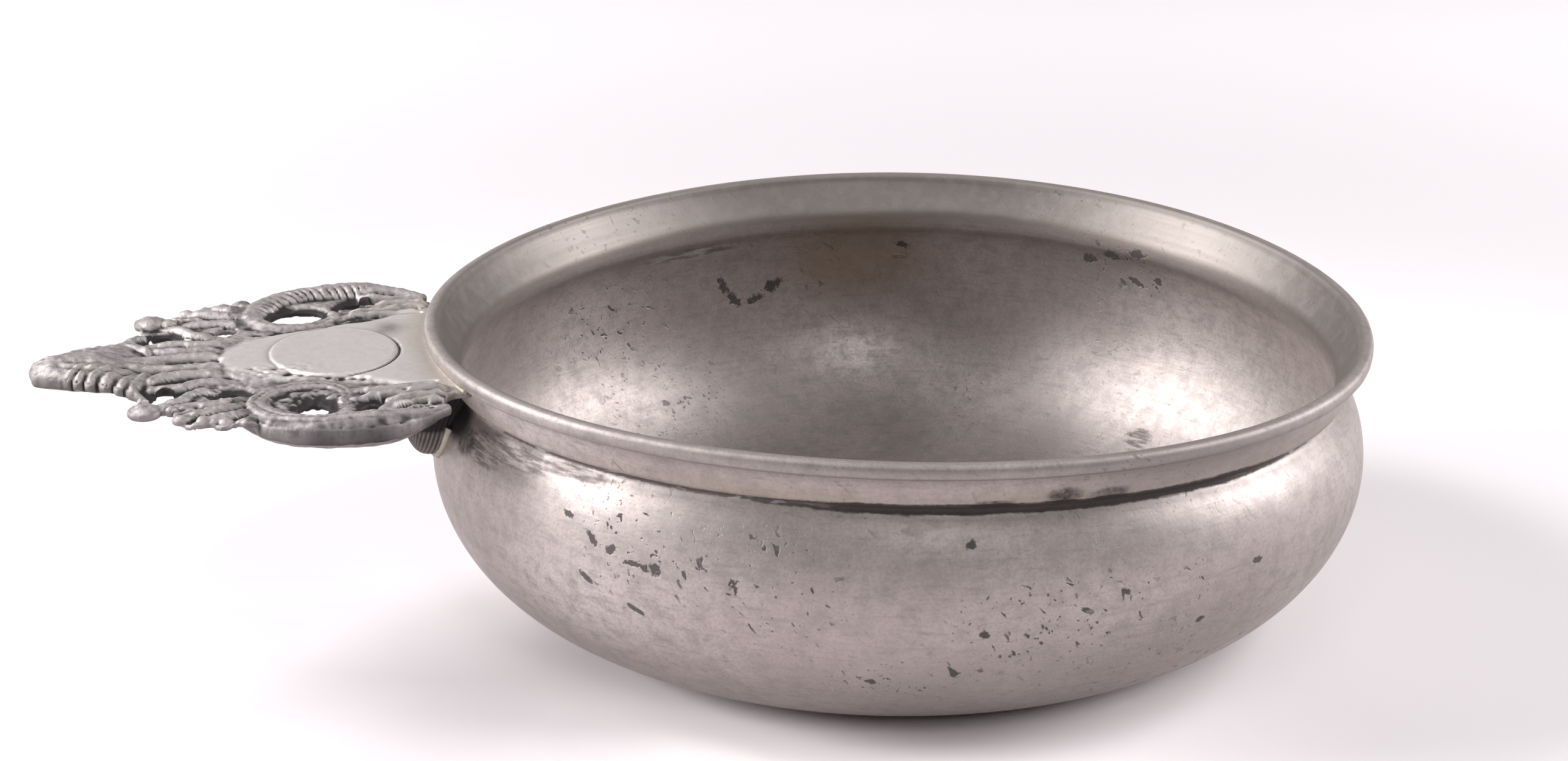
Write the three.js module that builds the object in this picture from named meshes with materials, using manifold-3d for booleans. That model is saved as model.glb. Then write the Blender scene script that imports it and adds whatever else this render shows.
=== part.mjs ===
// A pewter porringer: a turned bowl with a boss bottom and one pierced, scrolled handle.
// Millimetres, +Z up. The bowl stands on z = 0 and the handle points along -X.

import * as THREE from 'three';
import { mergeVertices } from 'three/addons/utils/BufferGeometryUtils.js';
import Module from 'manifold-3d';

const wasm = await Module();
wasm.setup();

// Bowl: overall
const rimRadius = 67;
const rimHeight = 44.3;
const wall = 1.4;
const bellyRadius = 66.6;
const bellyHeight = 24.5;
const shoulderTurn = 60;
const bowlSegments = 64;

// Bowl: flat ring that it stands on, with the boss inside it
const footRadius = 37.7;
const bossRadius = 27;
const bossRise = 4.6;

// Bowl: neck, incised groove, collar and lip bead
const neckTuck = 3.1;
const neckHeight = 35.4;
const grooveDepth = 0.5;
const grooveWidth = 1.2;
const collarFootProud = 0.7;
const lipHeight = 2.2;
const lipProud = 1.3;
const lipTopWidth = 1.9;
const lipBreak = 0.3;

// Handle: overall
const handleLength = 53.4;
const handleWidth = 60.8;
const handleDrop = 2.3;
const plateThickness = 1.3;
const plateBevel = 0.4;
const rootWidth = 39.6;

// Handle: relief
const medallionLength = 16.6;
const medallionWidth = 19.6;
const medallionCentre = 12.6;
const medallionBorder = 0.9;
const borderRise = 0.35;
const scrollRise = 1.05;
const scrollBand = 6.4;
const scrollDepth = 4.9;
const veinBand = 1.9;
const veinRise = 0.85;
const tipRise = 1.8;
const tipSag = 0.4;
const tipBand = 6.6;
const midribWidth = 3.2;
const tipRibPitch = 2.3;
const tipRibs = 6;
const budLength = 3.8;
const budWidth = 4;
const budRise = 0.9;

// Bracket under the handle root
const bracketDrop = 17;
const bracketWidth = 15;
const bracketTipWidth = 9;
const bracketTopReach = 11.4;
const bracketTipReach = 2.6;
const fluteCount = 3;
const fluteWidth = 1.8;
const flutePitch = 2.8;
const fluteRise = 0.6;

// Solder and fits
const solderThickness = 0.6;
const solderMargin = 0.8;
const gap = 0.3;

// Places that follow from the sizes above
const bowlX = handleLength / 2;
const neckRadius = bellyRadius - neckTuck;
const plateTop = rimHeight - handleDrop;
const plateBottom = plateTop - plateThickness;
const seatOffset = solderThickness + 2 * gap;

const pewter = new THREE.MeshStandardMaterial({ color: 0x9a9492, roughness: 0.42, metalness: 1 });
const leadenPewter = new THREE.MeshStandardMaterial({ color: 0x8b8583, roughness: 0.6, metalness: 1 });
const solder = new THREE.MeshStandardMaterial({ color: 0xa8a090, roughness: 0.55, metalness: 1 });

// Solids

function toSolid(geometry) {
  geometry.deleteAttribute('normal');
  geometry.deleteAttribute('uv');
  const merged = mergeVertices(geometry, 1e-4);
  const index = merged.index.array;
  const faces = [];
  for (let i = 0; i < index.length; i += 3) {
    const [a, b, c] = [index[i], index[i + 1], index[i + 2]];
    if (a !== b && b !== c && c !== a) faces.push(a, b, c);
  }
  return new wasm.Manifold(new wasm.Mesh({
    numProp: 3,
    vertProperties: merged.attributes.position.array,
    triVerts: Uint32Array.from(faces),
  }));
}

function toGeometry(solid) {
  const mesh = solid.getMesh();
  const geometry = new THREE.BufferGeometry();
  geometry.setAttribute('position', new THREE.BufferAttribute(mesh.vertProperties, 3));
  geometry.setIndex(new THREE.BufferAttribute(mesh.triVerts, 1));
  geometry.computeVertexNormals();
  return geometry;
}

function joinAll(solids) {
  return solids.reduce((joined, solid) => joined.add(solid));
}

function lathe(points) {
  const geometry = new THREE.LatheGeometry(points, bowlSegments);
  geometry.rotateX(Math.PI / 2);
  return geometry;
}

// Bowl

function arc(centreR, centreZ, radiusR, radiusZ, fromDegrees, toDegrees, steps) {
  return Array.from({ length: steps + 1 }, (_, i) => {
    const angle = THREE.MathUtils.degToRad(THREE.MathUtils.lerp(fromDegrees, toDegrees, i / steps));
    return new THREE.Vector2(centreR + radiusR * Math.cos(angle), centreZ + radiusZ * Math.sin(angle));
  });
}

// Belly from the foot ring up to the neck, for a skin moved inwards by inset
function bellyCurve(inset) {
  const radius = bellyRadius - inset;
  const turn = THREE.MathUtils.degToRad(shoulderTurn);
  const tuck = (bellyRadius - neckRadius) / (1 - Math.cos(turn));
  const rise = (neckHeight - bellyHeight) / Math.sin(turn);
  const lower = arc(footRadius, bellyHeight, radius - footRadius, bellyHeight - inset, -90, 0, 9);
  const upper = arc(radius - tuck, bellyHeight, tuck, rise, 0, shoulderTurn, 5);
  return [...lower, ...upper.slice(1)];
}

function bossCurve(lift) {
  const steps = 5;
  return Array.from({ length: steps + 1 }, (_, i) => {
    const t = i / steps;
    return new THREE.Vector2(bossRadius * t, lift + bossRise * 0.5 * (1 + Math.cos(Math.PI * t)));
  });
}

// Outer face of the collar and its lip bead, moved outwards by offset
function collarCurve(offset) {
  const foot = new THREE.Vector2(neckRadius + collarFootProud, neckHeight + grooveWidth);
  const head = new THREE.Vector2(rimRadius - lipProud, rimHeight - lipHeight);
  const bend = new THREE.Vector2(
    THREE.MathUtils.lerp(foot.x, head.x, 0.3),
    THREE.MathUtils.lerp(foot.y, head.y, 0.6),
  );
  const face = new THREE.QuadraticBezierCurve(foot, bend, head).getPoints(3);
  const half = lipHeight / 2;
  const bead = arc(rimRadius - half, rimHeight - half, half, half, -70, 80, 5);
  return [...face, ...bead].map((p) => new THREE.Vector2(p.x + offset, p.y));
}

function bowlProfile() {
  const groove = new THREE.Vector2(neckRadius - grooveDepth, neckHeight + grooveWidth / 2);
  const lipInner = new THREE.Vector2(rimRadius - lipTopWidth, rimHeight);
  const neckInner = new THREE.Vector2(neckRadius - wall, neckHeight + grooveWidth);
  const bend = new THREE.Vector2(
    THREE.MathUtils.lerp(neckInner.x, lipInner.x, 0.4),
    THREE.MathUtils.lerp(neckInner.y, lipInner.y, 0.55),
  );
  const flare = new THREE.QuadraticBezierCurve(
    new THREE.Vector2(lipInner.x - lipBreak, lipInner.y - lipBreak), bend, neckInner,
  ).getPoints(4);
  return [
    ...bossCurve(0),
    ...bellyCurve(0),
    groove,
    ...collarCurve(0),
    lipInner,
    ...flare,
    ...bellyCurve(wall).reverse(),
    ...bossCurve(wall).reverse(),
  ];
}

// Solid of the bowl's outside, moved outwards by offset: what is soldered on seats against it
function bowlEnvelope(offset) {
  const belly = bellyCurve(0).map((p) => new THREE.Vector2(p.x + offset, p.y));
  const collar = collarCurve(offset);
  const top = new THREE.Vector2(collar.at(-1).x, 2 * rimHeight);
  return toSolid(lathe([new THREE.Vector2(0, 0), ...belly, ...collar, top, new THREE.Vector2(0, top.y)]));
}

// Handle: plan points are shares of its length beyond the rim and of its half width from the centre line

function plan(beyondRim, aside) {
  return new THREE.Vector2(
    -(rimRadius + beyondRim * handleLength),
    aside * handleWidth / 2,
  );
}

function planPoints(pairs, side = 1) {
  return pairs.map(([beyondRim, aside]) => plan(beyondRim, side * aside));
}

// Half of the outline, from the root to the tip, one list for each smooth run between corners
function outlineRuns() {
  const rootAside = rootWidth / handleWidth;
  return [
    [
      [-0.2, rootAside], [-0.045, rootAside], [-0.004, 0.82], [0.056, 0.912], [0.15, 0.967],
      [0.243, 0.983], [0.318, 0.957], [0.384, 0.89], [0.419, 0.82],
    ],
    [
      [0.419, 0.82], [0.449, 0.84], [0.487, 0.812], [0.513, 0.828], [0.551, 0.792],
      [0.573, 0.8], [0.607, 0.77], [0.625, 0.738], [0.632, 0.68], [0.636, 0.589],
    ],
    [[0.636, 0.589], [0.668, 0.622], [0.7, 0.622], [0.726, 0.566], [0.728, 0.473], [0.724, 0.414]],
    [
      [0.724, 0.414], [0.753, 0.352], [0.79, 0.293], [0.854, 0.213], [0.906, 0.163],
      [0.955, 0.124], [0.989, 0.078], [1, 0],
    ],
  ];
}

function handleOutline() {
  const steps = 3;
  const half = outlineRuns().flatMap((run) => {
    const curve = new THREE.SplineCurve(planPoints(run));
    return curve.getPoints(steps * (run.length - 1)).slice(0, -1);
  });
  const mirrored = half.map((p) => new THREE.Vector2(p.x, -p.y)).reverse();
  return [...half, plan(1, 0), ...mirrored];
}

// The piercings of one side, each a closed spline
const piercings = [
  [
    [0.277, 0.547], [0.266, 0.652], [0.307, 0.743], [0.371, 0.75],
    [0.401, 0.671], [0.386, 0.566], [0.333, 0.513],
  ],
  [[0.086, 0.668], [0.105, 0.766], [0.176, 0.785], [0.21, 0.733], [0.187, 0.672], [0.135, 0.645]],
  [[0.479, 0.375], [0.476, 0.48], [0.513, 0.513], [0.539, 0.447], [0.521, 0.368]],
  [[0.629, 0.335], [0.633, 0.435], [0.674, 0.468], [0.697, 0.395], [0.67, 0.329]],
];

function piercingPath(pairs, side) {
  const points = planPoints(pairs, side);
  const loop = new THREE.CatmullRomCurve3(points.map((p) => new THREE.Vector3(p.x, p.y, 0)), true);
  return new THREE.Path(loop.getPoints(14).slice(0, -1));
}

function plate() {
  const shape = new THREE.Shape(handleOutline());
  for (const side of [1, -1]) {
    for (const pairs of piercings) shape.holes.push(piercingPath(pairs, side));
  }
  const geometry = new THREE.ExtrudeGeometry(shape, {
    depth: plateThickness - 2 * plateBevel,
    bevelEnabled: true,
    bevelThickness: plateBevel,
    bevelSize: plateBevel,
    bevelOffset: -plateBevel,
    bevelSegments: 1,
  });
  geometry.translate(0, 0, plateBottom + plateBevel);
  return toSolid(geometry);
}

// A raised band with an oval section along a plan curve; width and height taper by profile(t)
function band(pairs, side, width, top, depth, profile, steps, sides = 8) {
  const curve = new THREE.SplineCurve(planPoints(pairs, side));
  const middle = top - depth / 2;
  const position = [];
  const index = [];
  for (let i = 0; i <= steps; i++) {
    const t = i / steps;
    const centre = curve.getPoint(t);
    const along = curve.getTangent(t);
    const size = profile(t);
    for (let k = 0; k < sides; k++) {
      const angle = 2 * Math.PI * k / sides;
      const out = width / 2 * size * Math.cos(angle);
      const up = depth / 2 * size * Math.sin(angle);
      position.push(centre.x - along.y * out, centre.y + along.x * out, middle + up);
    }
  }
  const first = position.length / 3;
  for (const t of [0, 1]) {
    const end = curve.getPoint(t);
    position.push(end.x, end.y, middle);
  }
  for (let k = 0; k < sides; k++) {
    const next = (k + 1) % sides;
    for (let i = 0; i < steps; i++) {
      const [a, b] = [i * sides + k, i * sides + next];
      index.push(a, b, b + sides, a, b + sides, a + sides);
    }
    index.push(first, next, k);
    index.push(first + 1, steps * sides + k, steps * sides + next);
  }
  const geometry = new THREE.BufferGeometry();
  geometry.setAttribute('position', new THREE.Float32BufferAttribute(position, 3));
  geometry.setIndex(index);
  return toSolid(geometry);
}

const taperToEye = (t) => Math.min(1, 0.55 + 4.5 * t) * (1 - 0.72 * t * t);
const swell = (t) => 0.35 + 0.65 * Math.sin(Math.PI * Math.min(1, 0.12 + 0.88 * t));

// Big C-scroll that runs out from the root, round the shoulder and back into its own eye
function scroll(side) {
  const path = [
    [-0.009, 0.757], [0.066, 0.842], [0.15, 0.891], [0.243, 0.905], [0.328, 0.868], [0.401, 0.763],
    [0.433, 0.625], [0.404, 0.5], [0.33, 0.441], [0.258, 0.474], [0.232, 0.572], [0.24, 0.671],
  ];
  return band(path, side, scrollBand, plateTop + scrollRise, scrollDepth, taperToEye, 26, 7);
}

// Veins of the frond between the root and the scroll, and of the leaf beyond it
const frondVeins = [
  [[-0.056, 0.46], [0.056, 0.53], [0.15, 0.585], [0.225, 0.6]],
  [[-0.056, 0.59], [0.037, 0.645], [0.094, 0.63], [0.161, 0.635]],
];
const leafVeins = [
  [[0.453, 0.566], [0.513, 0.671], [0.551, 0.783]],
  [[0.449, 0.652], [0.476, 0.743], [0.487, 0.81]],
  [[0.506, 0.552], [0.562, 0.619], [0.603, 0.717]],
  [[0.566, 0.329], [0.596, 0.473], [0.63, 0.552]],
];

function veins(side) {
  return [...frondVeins, ...leafVeins].map((path) => (
    band(path, side, veinBand, plateTop + veinRise, 2 * veinRise, swell, 5, 6)
  ));
}

// Ribs of the curled leaf at the tip sweep out and forward from its midrib, each shorter than the last
const firstRib = { startShare: 0.663, reachShare: 0.382, leanShare: 0.054, shorteningShare: 0.053 };

function tipRib(number, side) {
  const start = firstRib.startShare + number * tipRibPitch / handleLength;
  const reach = firstRib.reachShare - firstRib.shorteningShare * number;
  const lean = firstRib.leanShare;
  const path = [[start, 0.03], [start + 0.75 * lean, 0.42 * reach], [start + lean, reach]];
  return band(path, side, veinBand, plateTop + veinRise, plateThickness + veinRise / 2, swell, 5, 6);
}

function midrib() {
  const path = [[0.45, 0], [0.55, 0], [0.65, 0], [0.76, 0]];
  return band(path, 1, midribWidth, plateTop + veinRise, plateThickness + veinRise, () => 1, 8);
}

// Swollen, rolled end of the tip leaf, thick in the middle and round at its end
function rolledTip() {
  const path = [[0.68, 0], [0.8, 0], [0.9, 0], [0.99, 0]];
  const fullness = (t) => 0.45 + 0.55 * Math.sin(Math.PI * (0.12 + 0.76 * t) ** 1.1);
  const depth = tipRise + plateThickness + tipSag;
  return band(path, 1, tipBand, plateTop + tipRise, depth, fullness, 10, 10);
}

// Oval border of the plain medallion
function medallion() {
  const centre = plan(medallionCentre / handleLength, 0);
  const ring = (inset) => new THREE.EllipseCurve(
    centre.x, centre.y, medallionLength / 2 - inset, medallionWidth / 2 - inset,
  ).getPoints(28);
  const shape = new THREE.Shape(ring(0));
  shape.holes.push(new THREE.Path(ring(medallionBorder)));
  const geometry = new THREE.ExtrudeGeometry(shape, { depth: 2 * borderRise, bevelEnabled: false });
  geometry.translate(0, 0, plateTop - borderRise);
  return toSolid(geometry);
}

// Rounded buds that stand out at each side of the tip leaf
const budPlace = [0.7, 0.655];

function bud(side) {
  const place = plan(budPlace[0], side * budPlace[1]);
  const ball = new THREE.SphereGeometry(1, 10, 7);
  ball.rotateX(Math.PI / 2);
  ball.scale(budLength / 2, budWidth / 2, (plateThickness + budRise) / 2);
  ball.translate(place.x, place.y, plateTop + (budRise - plateThickness) / 2);
  return toSolid(ball);
}

function handle() {
  const parts = [plate(), midrib(), rolledTip(), medallion()];
  for (const side of [1, -1]) {
    parts.push(scroll(side), bud(side), ...veins(side));
    for (let number = 0; number < tipRibs; number++) parts.push(tipRib(number, side));
  }
  return joinAll(parts).subtract(bowlEnvelope(seatOffset));
}

// Bracket

// Front view of the tongue, grown all round by margin, pushed through the whole root
function tongueBlock(margin, top) {
  const halfTop = bracketWidth / 2 + margin;
  const halfTip = bracketTipWidth / 2 + margin;
  const tipCentre = rimHeight - bracketDrop + bracketTipWidth / 2;
  const shape = new THREE.Shape();
  shape.moveTo(-halfTop, top);
  shape.quadraticCurveTo(-halfTip, THREE.MathUtils.lerp(tipCentre, top, 0.5), -halfTip, tipCentre);
  shape.absarc(0, tipCentre, halfTip, Math.PI, 2 * Math.PI, false);
  shape.quadraticCurveTo(halfTip, THREE.MathUtils.lerp(tipCentre, top, 0.5), halfTop, top);
  shape.closePath();
  const depth = rimRadius + handleLength;
  const geometry = new THREE.ExtrudeGeometry(shape, { depth, bevelEnabled: false, curveSegments: 8 });
  geometry.rotateX(Math.PI / 2);
  geometry.rotateZ(-Math.PI / 2);
  return toSolid(geometry);
}

// Side view, width wide about aside: from the handle's underside it sweeps in to the tongue's tip
function sideBlock(top, proud, width, aside) {
  const outer = -(bellyRadius + bracketTopReach + proud);
  const tip = -(bellyRadius + bracketTipReach + proud);
  const bottom = rimHeight - bracketDrop - proud;
  const inside = -rimRadius / 2;
  const shape = new THREE.Shape();
  shape.moveTo(inside, top);
  shape.lineTo(outer, top);
  shape.bezierCurveTo(
    THREE.MathUtils.lerp(outer, tip, 0.75), THREE.MathUtils.lerp(top, bottom, 0.12),
    tip, THREE.MathUtils.lerp(top, bottom, 0.35),
    tip, THREE.MathUtils.lerp(top, bottom, 0.75),
  );
  shape.quadraticCurveTo(tip, bottom, THREE.MathUtils.lerp(tip, -bellyRadius, 0.6), bottom);
  shape.lineTo(inside, bottom);
  shape.closePath();
  const settings = { depth: width, bevelEnabled: false, curveSegments: 7 };
  const geometry = new THREE.ExtrudeGeometry(shape, settings);
  geometry.rotateX(Math.PI / 2);
  geometry.translate(0, aside + width / 2, 0);
  return toSolid(geometry);
}

function bracket() {
  const top = plateBottom - gap;
  let tongue = tongueBlock(0, top).intersect(sideBlock(top, 0, bracketWidth, 0));
  for (let number = 0; number < fluteCount; number++) {
    const aside = (number - (fluteCount - 1) / 2) * flutePitch;
    const outline = tongueBlock(fluteRise, top);
    tongue = tongue.add(outline.intersect(sideBlock(top, fluteRise, fluteWidth, aside)));
  }
  return tongue.subtract(bowlEnvelope(seatOffset));
}

// Solder

function solderSkin() {
  return bowlEnvelope(gap + solderThickness).subtract(bowlEnvelope(gap));
}

function handleSeam() {
  const depth = plateThickness + 2 * solderMargin;
  const box = new THREE.BoxGeometry(rimRadius, rootWidth + 2 * solderMargin, depth);
  box.translate(-rimRadius, 0, plateTop - plateThickness / 2);
  return toSolid(box).intersect(solderSkin());
}

function bracketSeam() {
  const top = plateBottom - solderMargin - gap;
  return tongueBlock(solderMargin, top).intersect(solderSkin());
}

// Assembly

const porringer = new THREE.Group();

function addPiece(name, geometry, material) {
  const mesh = new THREE.Mesh(geometry, material);
  mesh.name = name;
  mesh.position.x = bowlX;
  porringer.add(mesh);
}

addPiece('bowl', toGeometry(toSolid(lathe(bowlProfile()))), pewter);
addPiece('handle', toGeometry(handle()), leadenPewter);
addPiece('bracket', toGeometry(bracket()), leadenPewter);
addPiece('handle_solder_seam', toGeometry(handleSeam()), solder);
addPiece('bracket_solder_seam', toGeometry(bracketSeam()), solder);

export default porringer;
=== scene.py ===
import math

import bpy
import bmesh
import numpy as np
from mathutils import Matrix, Vector


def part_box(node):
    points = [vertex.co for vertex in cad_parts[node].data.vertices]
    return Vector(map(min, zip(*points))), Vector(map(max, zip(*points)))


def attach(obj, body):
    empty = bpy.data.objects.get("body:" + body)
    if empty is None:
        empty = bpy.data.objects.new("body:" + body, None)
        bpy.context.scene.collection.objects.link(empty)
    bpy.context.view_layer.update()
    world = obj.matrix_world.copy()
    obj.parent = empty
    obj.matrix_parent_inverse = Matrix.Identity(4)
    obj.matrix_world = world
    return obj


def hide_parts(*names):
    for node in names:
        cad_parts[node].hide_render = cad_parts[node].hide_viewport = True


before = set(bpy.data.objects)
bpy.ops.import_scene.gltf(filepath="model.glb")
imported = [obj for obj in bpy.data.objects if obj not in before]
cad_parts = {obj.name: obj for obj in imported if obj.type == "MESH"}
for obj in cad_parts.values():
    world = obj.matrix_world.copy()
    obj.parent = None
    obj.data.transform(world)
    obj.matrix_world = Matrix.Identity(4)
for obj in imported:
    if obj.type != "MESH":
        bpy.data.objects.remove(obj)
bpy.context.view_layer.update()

mm = 0.001


# Bowl
# Cast in one pewter piece and turned on a lathe, inside and out: a boss bottom in a flat ring, a round
# belly, a neck with an incised groove, and a flared collar with a rolled lip. Its rim is a little out
# of true, so it isn't quite level.

rim_radius = 67.0
rim_height = 43.5
bowl_wall = 1.4
belly_radius = 66.6
belly_height = 24.5
foot_radius = 37.7
boss_radius = 27.0
boss_rise = 4.6
neck_height = 35.2
shoulder_tuck = 6.2
lip_inner_radius = 65.15
lip_bottom = 41.4
groove_bottom, groove_top = 35.9, 37.0
bowl_x = (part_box("bowl")[0][0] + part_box("bowl")[1][0]) / 2


class Socket:
    """A node's output that arithmetic can be written on. Each operation adds its Math node."""

    def __init__(self, graph, out):
        self.graph = graph
        self.out = out

    def math(self, operation, *values, clamp=False):
        settings = {"operation": operation, "use_clamp": clamp}
        return self.graph.node("ShaderNodeMath", settings, dict(enumerate(values)))

    def __add__(self, other):
        return self.math("ADD", self, other)

    __radd__ = __add__

    def __sub__(self, other):
        return self.math("SUBTRACT", self, other)

    def __rsub__(self, other):
        return self.math("SUBTRACT", other, self)

    def __mul__(self, other):
        return self.math("MULTIPLY", self, other)

    __rmul__ = __mul__

    def __truediv__(self, other):
        return self.math("DIVIDE", self, other)

    def __pow__(self, other):
        return self.math("POWER", self, other)

    def __neg__(self):
        return self * -1.0

    def between(self, low, high):
        """0 at low, 1 at high, and smooth between them. Low may be above high."""
        if low > high:
            return 1.0 - self.between(high, low)
        settings = {"interpolation_type": "SMOOTHSTEP"}
        return self.graph.node("ShaderNodeMapRange", settings, {0: self, 1: low, 2: high})

    def limited(self):
        return self.math("ADD", self, 0.0, clamp=True)


class Graph:
    """A node tree of either kind, filled by node()."""

    def __init__(self, tree):
        self.tree = tree
        tree.nodes.clear()

    def node(self, kind, settings=None, values=None, out=None):
        """Adds a node, applies its settings, then its socket values or links. Returns one output."""
        made = self.tree.nodes.new(kind)
        for name, value in (settings or {}).items():
            setattr(made, name, value)
        for key, value in (values or {}).items():
            if isinstance(value, Socket):
                self.tree.links.new(value.out, made.inputs[key])
            else:
                made.inputs[key].default_value = value
        if not made.outputs:
            return made
        if out is None:
            return Socket(self, next(o for o in made.outputs if o.enabled))
        return Socket(self, made.outputs[out])

    def vector(self, x, y, z):
        return self.node("ShaderNodeCombineXYZ", {}, {0: x, 1: y, 2: z})

    def parts(self, vector):
        cut = self.node("ShaderNodeSeparateXYZ", {}, {0: vector})
        return [Socket(self, out) for out in cut.out.node.outputs]

    def noise(self, vector, scale, detail, roughness, distortion=0.0):
        values = {"Vector": vector, "Scale": scale, "Detail": detail, "Roughness": roughness}
        return self.node("ShaderNodeTexNoise", {}, {**values, "Distortion": distortion}, out=0)

    def mix(self, factor, first, second):
        """Colours mixed by factor. Each is a socket or an (r, g, b)."""
        first, second = [c if isinstance(c, Socket) else (*c, 1.0) for c in (first, second)]
        settings = {"data_type": "RGBA"}
        return self.node("ShaderNodeMix", settings, {0: factor, 6: first, 7: second}, out=2)

    def layered(self, colour, layers):
        """Colours laid over a first one in turn, each by its own share."""
        for share, tone in layers:
            colour = self.mix(share, colour, tone)
        return colour


class Finish(Graph):
    """A material whose shader inputs are worked out from places and fields on the surface."""

    def __init__(self, name):
        self.material = bpy.data.materials.new(name)
        self.material.use_nodes = True
        super().__init__(self.material.node_tree)

    def place(self, centre=(0.0, 0.0, 0.0)):
        """Object coordinates, with their origin moved to centre."""
        point = self.node("ShaderNodeTexCoord", {}, {}, out="Object")
        shift = tuple(-c for c in centre)
        return self.node("ShaderNodeMapping", {}, {"Vector": point, "Location": shift})

    def attribute(self, name):
        return self.node("ShaderNodeAttribute", {"attribute_name": name}, {}, out="Fac")

    def blemishes(self, flat, places):
        """Distance from the nearest of some ovals on a flat map of the surface, 1 at an oval's edge.
        Each is its angle about the bowl, height, half length, half height (mm) and tilt (degrees)."""
        nearest = None
        for turn, height, half_length, half_height, tilt in places:
            values = {
                "Vector": flat, "Location": (turn * mm_per_degree, height, 0.0),
                "Rotation": (0.0, 0.0, math.radians(tilt)), "Scale": (half_length, half_height, 1.0),
            }
            local = self.node("ShaderNodeMapping", {"vector_type": "TEXTURE"}, values)
            away = self.node("ShaderNodeVectorMath", {"operation": "LENGTH"}, {0: local}, out="Value")
            nearest = away if nearest is None else nearest.math("MINIMUM", nearest, away)
        return nearest

    def metal(self, colour, roughness, height, relief):
        """Closes the tree: relief is the height in metres that 1.0 of height stands for. The grey skin
        on old pewter scatters a little light, so it isn't all mirror."""
        bump = self.node("ShaderNodeBump", {}, {"Strength": 1.0, "Distance": relief, "Height": height})
        values = {"Base Color": colour, "Metallic": 0.75, "Roughness": roughness, "Normal": bump}
        shader = self.node("ShaderNodeBsdfPrincipled", {}, values)
        self.node("ShaderNodeOutputMaterial", {}, {"Surface": shader})
        return self.material


# The marks lie on a flat map of the wall: mm round it, unrolled at this radius, and mm up
map_radius = 65.9
mm_per_degree = 1.15

# Black pits: degrees about the bowl, mm up, half length, half height and tilt
black_pits_outside = [
    (-144, 30.4, 1, 0.4, -8), (-140, 28.3, 1, 0.45, -45), (-137.4, 27.6, 0.8, 0.6, 20),
    (-134.4, 26.5, 1.2, 0.35, 0), (-131.6, 26.5, 0.7, 0.8, 0), (-141, 22.9, 1, 0.45, -30),
    (-134.2, 20.1, 1.6, 0.35, -25), (-95.3, 20.8, 0.7, 0.5, -30), (-96.7, 32.6, 0.6, 0.6, 0),
    (-68.7, 18.2, 0.7, 0.4, 20), (-60.8, 24.6, 0.8, 0.5, 0),
]
black_pits_inside = [
    (101.1, 27, 0.75, 1.6, -30), (99.4, 24.5, 0.8, 1.4, -30), (96.2, 24.3, 1.4, 0.7, -20),
    (93.6, 26.2, 1.6, 0.9, -28), (74.1, 32.2, 1.2, 0.5, 10), (45.5, 33, 1.3, 0.7, -15),
    (41.2, 34.6, 1.6, 0.8, 0), (36.6, 35.8, 1.6, 0.7, -10), (38, 30.6, 1.6, 0.5, 15), (34, 31.8, 0.8, 0.7, 0),
]


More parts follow.
